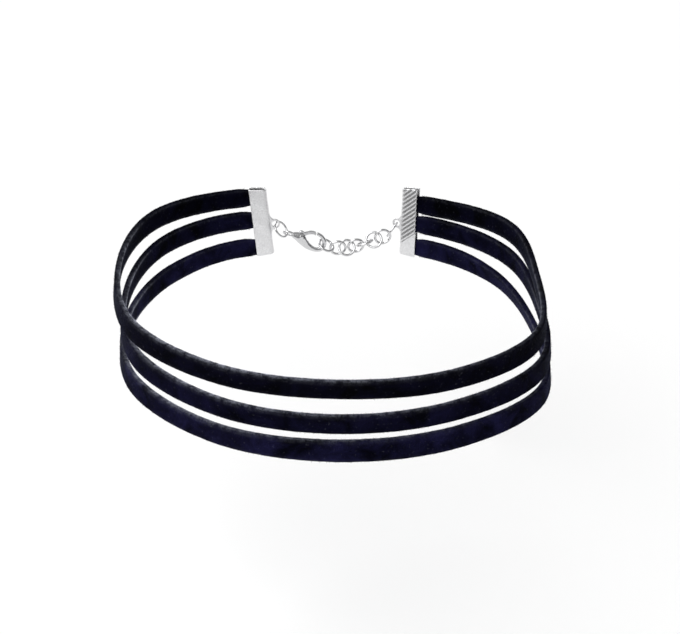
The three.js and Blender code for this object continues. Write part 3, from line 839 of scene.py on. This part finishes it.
def bow(start, control, end, steps=10):
    """Points of a quadratic curve without its first"""
    t = np.linspace(0, 1, steps + 1)[1:, None]
    start, control, end = (np.array(p, float) for p in (start, control, end))
    return ((1 - t) ** 2 * start + 2 * t * (1 - t) * control + t**2 * end).tolist()


def circle(x, y, radius, start=0, end=2 * pi, steps=28, close=False):
    """Points of an arc"""
    turn = np.linspace(start, end, steps, endpoint=close)
    return np.stack([x + radius * np.cos(turn), y + radius * np.sin(turn)], -1).tolist()


def tab_shape(clamps):
    """The ring tab: a hump on the fold with a round eye"""
    depth = mm(clamps.depth)
    foot, eye = depth - mm(clamps.sheet) * TAB_FOOT, depth + TAB_REACH
    outline = [(foot, -TAB_BASE), (depth, -TAB_BASE)]
    outline += bow((depth, -TAB_BASE), (depth + TAB_WAIST, -TAB_RADIUS), (eye, -TAB_RADIUS))
    outline += circle(eye, 0, TAB_RADIUS, -pi / 2, pi / 2, 20, True)[1:]
    outline += bow((eye, TAB_RADIUS), (depth + TAB_WAIST, TAB_RADIUS), (depth, TAB_BASE))
    outline += [(foot, TAB_BASE)]
    plate = flat_plate(outline, [circle(eye, 0, TAB_HOLE)], TAB_THICKNESS, TAB_ROUNDING)
    stand = Matrix.Translation((0, 0, -TAB_DROP)) @ Matrix.Rotation(pi / 2, 4, "X")
    return placed(plate, stand)


class CHOKER_OT_clamps(bpy.types.Operator):
    """Make the two folded ribbon clamps"""

    bl_idname = "choker.clamps"
    bl_label = "Ribbon clamps"
    bl_options = {"REGISTER", "UNDO"}

    def execute(self, context):
        clamps, ribbons = context.scene.choker_clamps, context.scene.choker_ribbons
        metal = silver_plate("satin_silver_plate", clamps)
        shape, groove = clamp_shape(clamps, ribbons)
        for name in CLAMP_ROWS:
            here = placed(shape, clamp_frame(name, ribbons))
            new_piece(name.replace("clamp", "ribbon_clamp"), here, metal, "satin_metal",
                      [name], groove=groove)
        return {"FINISHED"}


# The clasp and chain

LINK_GAP, LINK_EASE, TAIL_GAP, HOOK_GAP, EYE_SLACK = 0.18, 0.95, 0.55, 0.4, 0.15
HOOK_INNER = 0.9
LEVER_GAP, LEVER_HUB, LEVER_ROUNDING, PIN_RADIUS = 0.2, 0.95, 0.16, 0.4
SLOT_REACH, SLOT_FLOOR = 0.185, 0.15
# The casting: points along and round its sweep, how square it is, how its tips narrow, the
# boss round the pin, and the voxel that joins it all
SWEEP_POINTS, SWEEP_AROUND, SWEEP_SQUARE = 110, 28, 0.72
TIP_LENGTH, TIP_SHARE = 0.35, 0.65
BOSS_RADIUS, BOSS_PROUD = 1.25, 0.02
CASTING_VOXEL = 0.085
RIVET_RIM, RIVET_HEIGHT, PIN_SUNK, PIN_AROUND = 0.18, 0.16, 0.1, 20
# How far a link's solder seam swells, how far each link's seam is turned from the last one's,
# and the gap of a split ring
LINK_SEAM, LINK_TURN_STEP, JUMP_SPLIT = 0.07, 0.5, 0.09
# Points round each kind of ring and round its wire, and round the boss and rivets and down them
TAIL_POINTS, LINK_POINTS, JUMP_POINTS = (64, 20), (72, 18), (72, 16)
BOSS_POINTS, RIVET_POINTS = (40, 20), (24, 8)


def chain_layout(scene):
    """Where each ring and the clasp sit behind the neck"""
    chain, ribbons, clamps = scene.choker_chain, scene.choker_ribbons, scene.choker_clamps
    eye = Vector((mm(clamps.depth) + TAB_REACH, 0, -TAB_DROP))
    left, right = (clamp_frame(name, ribbons) @ eye for name in CLAMP_ROWS)
    span = (right - left).length
    at, total = smooth_curve([
        tuple(left.lerp(right, share) - Vector((0, 0, drop * span)))
        for share, drop in CHAIN_ROUTE
    ])

    def point(distance):
        return Vector(at(min(max(distance, 0), total))[0])

    def ring_place(distance, outer, wire, turn):
        middle = (outer - wire) / 2
        start, end = point(distance - middle), point(distance + middle)
        return Matrix.Translation((start + end) / 2) @ frame_between(start, end, turn)

    jump, jump_wire = mm(chain.jump_outer), mm(chain.jump_wire)
    link, link_wire = mm(chain.link_outer), mm(chain.link_wire)
    clasp = mm(chain.clasp_length)
    jump_middle, link_middle = (jump - jump_wire) / 2, (link - link_wire) / 2
    slack = EYE_SLACK * TAB_HOLE
    left_jump = slack + jump_middle
    tail = left_jump + jump_middle - jump_wire / 2 - mm(chain.tail_wire) - TAIL_GAP
    first = tail + clasp * HOOK_INNER - link_wire / 2 - HOOK_GAP + link_middle
    right_jump = total - slack - jump_middle
    last = right_jump - jump_middle + jump_wire / 2 + link_wire / 2 + LINK_GAP - link_middle
    taut = link - 2 * link_wire - LINK_GAP
    count = ceil((last - first) / (taut * LINK_EASE)) + 1
    start, end = point(tail), point(tail + clasp)
    ring = (jump, jump_wire)
    return {
        "clasp": Matrix.Translation(start) @ frame_between(start, end, -CLASP_FACE_TILT),
        "jump_ring_left": ring_place(left_jump, *ring, JUMP_TURNS["left"]),
        "jump_ring_right": ring_place(right_jump, *ring, JUMP_TURNS["right"]),
        "links": [
            ring_place(along, link, link_wire, LINK_TURNS[i % len(LINK_TURNS)])
            for i, along in enumerate([first, *np.linspace(first + taut, last, count - 1)])
        ],
    }


def clasp_point(row, chain):
    """A clasp row's shares as millimetres"""
    return row[0] * mm(chain.clasp_length), row[1] * mm(chain.clasp_width)


def ball(radius, squash, x, y, z, around, rows):
    """A flattened ball"""
    up = np.linspace(0, pi, rows + 2)[1:-1][:, None]
    turn = np.linspace(0, 2 * pi, around, endpoint=False)[None, :]
    rings = np.stack([
        x + radius * np.sin(up) * np.cos(turn), y + radius * np.sin(up) * np.sin(turn),
        z - squash * np.cos(up) * np.ones_like(turn),
    ], -1)
    return tube(rings)


def clasp_sweep(long, wide, thick):
    """Hook and spine in one sweep through the clasp's sections"""
    sections = np.array(CLASP_SECTIONS) * (long, wide, long, wide, thick)
    outer, inner = sections[:, :2], sections[:, 2:4]
    middle = (outer + inner) / 2
    rows = [middle, 0 * middle[:, :1], outer - middle, sections[:, 4:]]
    at, total = smooth_curve(np.concatenate(rows, 1))
    run = np.linspace(0, total, SWEEP_POINTS)
    turn = np.linspace(0, 2 * pi, SWEEP_AROUND, endpoint=False)
    edge, face = (np.abs(v) ** SWEEP_SQUARE * np.sign(v) for v in (np.cos(turn), np.sin(turn)))
    rings = []
    for row, distance in zip(at(run), run):
        near_tip = 1 - min(distance / TIP_LENGTH, (total - distance) / TIP_LENGTH, 1)
        blunt = (1 - near_tip**2) ** 0.5 * (1 - TIP_SHARE) + TIP_SHARE
        ring = np.zeros((len(turn), 3))
        ring[:, :2] = row[:2] + edge[:, None] * row[3:5] * blunt
        ring[:, 2] = face * row[5] * blunt
        rings.append(ring)
    return tube(np.array(rings))


def clasp_body_shape(chain):
    """The casting: hook and spine, tail ring, cheeks slotted for the lever, and its rivet"""
    long, wide, thick = (mm(v) for v in (
        chain.clasp_length, chain.clasp_width, chain.clasp_thickness))
    pin = clasp_point(PIVOT, chain)
    tail_outer = mm(chain.tail_outer)
    tail_turn = Matrix.Rotation(radians(TAIL_RING_TURN), 4, "X")
    tail_place = Matrix.Translation((tail_outer / 2, 0, 0)) @ tail_turn
    tail = placed(wire_ring(tail_outer, mm(chain.tail_wire), *TAIL_POINTS), tail_place)
    boss = ball(BOSS_RADIUS, thick / 2 + BOSS_PROUD, *pin, 0, *BOSS_POINTS)
    gap = mm(chain.lever_thickness) + 2 * LEVER_GAP
    reach = LEVER_HUB + LEVER_GAP
    slot = circle(*pin, reach, pi, 7 * pi / 4, 18, True)
    slot += [
        (pin[0] + SLOT_REACH * long, pin[1] - SLOT_FLOOR * wide),
        (pin[0] + SLOT_REACH * long, wide),
        (pin[0] - reach, wide),
    ]
    knife = flat_plate(slot, [], gap, 0.02, 0)
    parts = [cast(combine(clasp_sweep(long, wide, thick), tail, boss), CASTING_VOXEL, knife)]
    for z in (thick / 2, -thick / 2):
        parts.append(ball(PIN_RADIUS + RIVET_RIM, RIVET_HEIGHT, *pin, z, *RIVET_POINTS))
    end = thick / 2 - PIN_SUNK
    round_pin = circle(*pin, PIN_RADIUS, steps=PIN_AROUND)
    parts.append(tube(np.array([[(x, y, z) for x, y in round_pin] for z in (-end, end)])))
    return combine(*parts)


def smooth_outline(rows, chain, steps):
    """Points of a smooth outline through clasp rows"""
    at, total = smooth_curve([(*clasp_point(row, chain), 0) for row in rows])
    return at(np.linspace(0, total, steps))[:, :2].tolist()


def lever_shape(chain):
    """The lever: hub, arm and thumb tab"""
    pin = clasp_point(PIVOT, chain)
    outline = smooth_outline(LEVER_OUTER, chain, 60)
    outline += circle(*pin, LEVER_HUB, pi, 2 * pi, 24, True)
    outline += smooth_outline(LEVER_INNER, chain, 30)
    hole = circle(*pin, PIN_RADIUS + LEVER_GAP / 2)
    return flat_plate(outline, [hole], mm(chain.lever_thickness), LEVER_ROUNDING)


class CHOKER_OT_clasp(bpy.types.Operator):
    """Make the lobster clasp and its lever"""

    bl_idname = "choker.clasp"
    bl_label = "Lobster clasp"
    bl_options = {"REGISTER", "UNDO"}

    def execute(self, context):
        chain = context.scene.choker_chain
        place = chain_layout(context.scene)["clasp"]
        metal = silver_plate("bright_silver_plate", chain)
        new_piece("lobster_clasp", placed(clasp_body_shape(chain), place), metal,
                  "bright_metal", ["clasp_body"])
        new_piece("lobster_lever", placed(lever_shape(chain), place), metal,
                  "bright_metal", ["clasp_lever"], "lever")
        return {"FINISHED"}


class CHOKER_OT_chain(bpy.types.Operator):
    """Make the chain links and the two jump rings"""

    bl_idname = "choker.chain"
    bl_label = "Chain and jump rings"
    bl_options = {"REGISTER", "UNDO"}

    def execute(self, context):
        chain, layout = context.scene.choker_chain, chain_layout(context.scene)
        metal = silver_plate("bright_silver_plate", chain)
        link = wire_ring(mm(chain.link_outer), mm(chain.link_wire), *LINK_POINTS, seam=LINK_SEAM)
        for number, place in enumerate(layout["links"], 1):
            turn = Matrix.Rotation(pi / 2 + LINK_TURN_STEP * number, 4, "Z")
            new_piece(f"link_{number:02d}", placed(link, place @ turn), metal,
                      "bright_metal", [f"chain_link_{number:02d}"])
        jump = wire_ring(mm(chain.jump_outer), mm(chain.jump_wire), *JUMP_POINTS,
                         split=JUMP_SPLIT, split_at=pi / 2)
        for name in ("jump_ring_left", "jump_ring_right"):
            new_piece(name.replace("jump", "split"), placed(jump, layout[name]), metal,
                      "bright_metal", [name])
        return {"FINISHED"}


# The studio

# Distance, aim and clip in metres, angles in degrees, lens and sensor in millimetres
CAMERA = {
    "distance": 0.269456, "elevation": 30.807, "roll": 1.3287,
    "aim_x": 0.000206, "aim_z": -0.003926, "clip": 0.01, "lens": 55.083, "sensor": 36,
}
# Where each light shines from, how wide it looks in degrees, and its strength in the panel
LIGHTS = {
    "key_light": ((-0.55, -0.6, 0.85), 50, "key_strength"),
    "rim_light": ((-0.7, 0.8, 0.7), 45, "rim_strength"),
}
FLOOR_REACH, FLOOR_CLOUDS, FLOOR_PALER, FLOOR_ROUGHNESS = 4.0, 3, 1.02, 0.9
WHITE = (1, 1, 1, 1)


def add_camera(scene):
    """The camera at its viewing angle, a little rolled"""
    tilt, roll = radians(CAMERA["elevation"]), radians(CAMERA["roll"])
    back = Vector((0, -cos(tilt), sin(tilt)))
    up = Vector((0, sin(tilt), cos(tilt)))
    right = Vector((1, 0, 0))
    axes = (right * cos(roll) + up * sin(roll), up * cos(roll) - right * sin(roll), back)
    lens = adjusted(
        bpy.data.cameras.new("camera"), lens=CAMERA["lens"], sensor_width=CAMERA["sensor"],
        sensor_fit="HORIZONTAL", clip_start=CAMERA["clip"],
    )
    camera = bpy.data.objects.new("camera", lens)
    spot = Vector((CAMERA["aim_x"], 0, CAMERA["aim_z"])) + back * CAMERA["distance"]
    camera.matrix_world = Matrix.Translation(spot) @ Matrix(axes).transposed().to_4x4()
    scene.collection.objects.link(camera)
    scene.camera = camera


def add_floor(studio):
    """The plain pale floor"""
    corners = ((-1, -1), (1, -1), (1, 1), (-1, 1))
    corners = [(x * FLOOR_REACH, y * FLOOR_REACH, -studio.floor_drop) for x, y in corners]
    floor = bare_object("floor", corners, [(0, 1, 2, 3)])
    finish = Finish("pale_floor")
    paler = (min(1, FLOOR_PALER * part) for part in studio.floor_colour)
    cloudy = finish.mixed(finish.noise(FLOOR_CLOUDS, 3), (*studio.floor_colour, 1), (*paler, 1))
    plain = finish.surface({"Base Color": cloudy, "Roughness": FLOOR_ROUGHNESS})
    floor.data.materials.append(plain)


def add_lights(scene, studio):
    """The wide key light and the light from behind"""
    for name, (place, spread, strength) in LIGHTS.items():
        lamp = bpy.data.lights.new(name, "SUN")
        lamp.angle = radians(spread)
        lamp.energy = getattr(studio, strength)
        holder = adjusted(
            bpy.data.objects.new(name, lamp), location=place, rotation_mode="QUATERNION",
            rotation_quaternion=(-Vector(place)).to_track_quat("-Z", "Y"),
        )
        scene.collection.objects.link(holder)


def add_surroundings(scene, studio):
    """Soft light from all round, in front of plain white"""
    world = bpy.data.worlds.new("surroundings")
    world.use_nodes = True
    nodes, link = world.node_tree.nodes, world.node_tree.links.new
    room, backdrop = nodes["Background"], nodes.new("ShaderNodeBackground")
    for glow in (room, backdrop):
        glow.inputs["Color"].default_value = WHITE
    room.inputs["Strength"].default_value = studio.world_strength
    seen = nodes.new("ShaderNodeMixShader")
    link(nodes.new("ShaderNodeLightPath").outputs["Is Camera Ray"], seen.inputs[0])
    link(room.outputs[0], seen.inputs[1])
    link(backdrop.outputs[0], seen.inputs[2])
    link(seen.outputs[0], nodes["World Output"].inputs["Surface"])
    scene.world = world


class CHOKER_OT_studio(bpy.types.Operator):
    """Make the camera, the pale floor and the soft lights"""

    bl_idname = "choker.studio"
    bl_label = "Studio"
    bl_options = {"REGISTER", "UNDO"}

    def execute(self, context):
        scene = context.scene
        studio = scene.choker_studio
        add_camera(scene)
        add_floor(studio)
        add_lights(scene, studio)
        add_surroundings(scene, studio)
        scene.view_settings.view_transform = "Standard"
        return {"FINISHED"}


class CHOKER_PT_panel(bpy.types.Panel):
    """Sizes and pieces of the choker"""

    bl_idname = "CHOKER_PT_panel"
    bl_label = "Choker necklace"
    bl_space_type = "VIEW_3D"
    bl_region_type = "UI"
    bl_category = "Choker"

    def draw(self, context):
        for pointer, group, operators in PANEL_ROWS:
            box = self.layout.box()
            values = getattr(context.scene, pointer)
            for key in group.__annotations__:
                box.prop(values, key)
            for operator in operators:
                box.operator(operator.bl_idname)


PANEL_ROWS = [
    ("choker_ribbons", RibbonSizes, [CHOKER_OT_ribbons]),
    ("choker_clamps", ClampSizes, [CHOKER_OT_clamps]),
    ("choker_chain", ChainSizes, [CHOKER_OT_clasp, CHOKER_OT_chain]),
    ("choker_studio", StudioSettings, [CHOKER_OT_studio]),
]


def register():
    for pointer, group, operators in PANEL_ROWS:
        for kind in (group, *operators):
            bpy.utils.register_class(kind)
        setattr(bpy.types.Scene, pointer, PointerProperty(type=group))
    bpy.utils.register_class(CHOKER_PT_panel)


def unregister():
    bpy.utils.unregister_class(CHOKER_PT_panel)
    for pointer, group, operators in reversed(PANEL_ROWS):
        delattr(bpy.types.Scene, pointer)
        for kind in (*reversed(operators), group):
            bpy.utils.unregister_class(kind)


def main():
    """Registers the add-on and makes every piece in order"""
    register()
    bpy.ops.choker.studio()
    bpy.ops.choker.ribbons()
    bpy.ops.choker.clamps()
    bpy.ops.choker.clasp()
    bpy.ops.choker.chain()


if __name__ == "__main__":
    main()
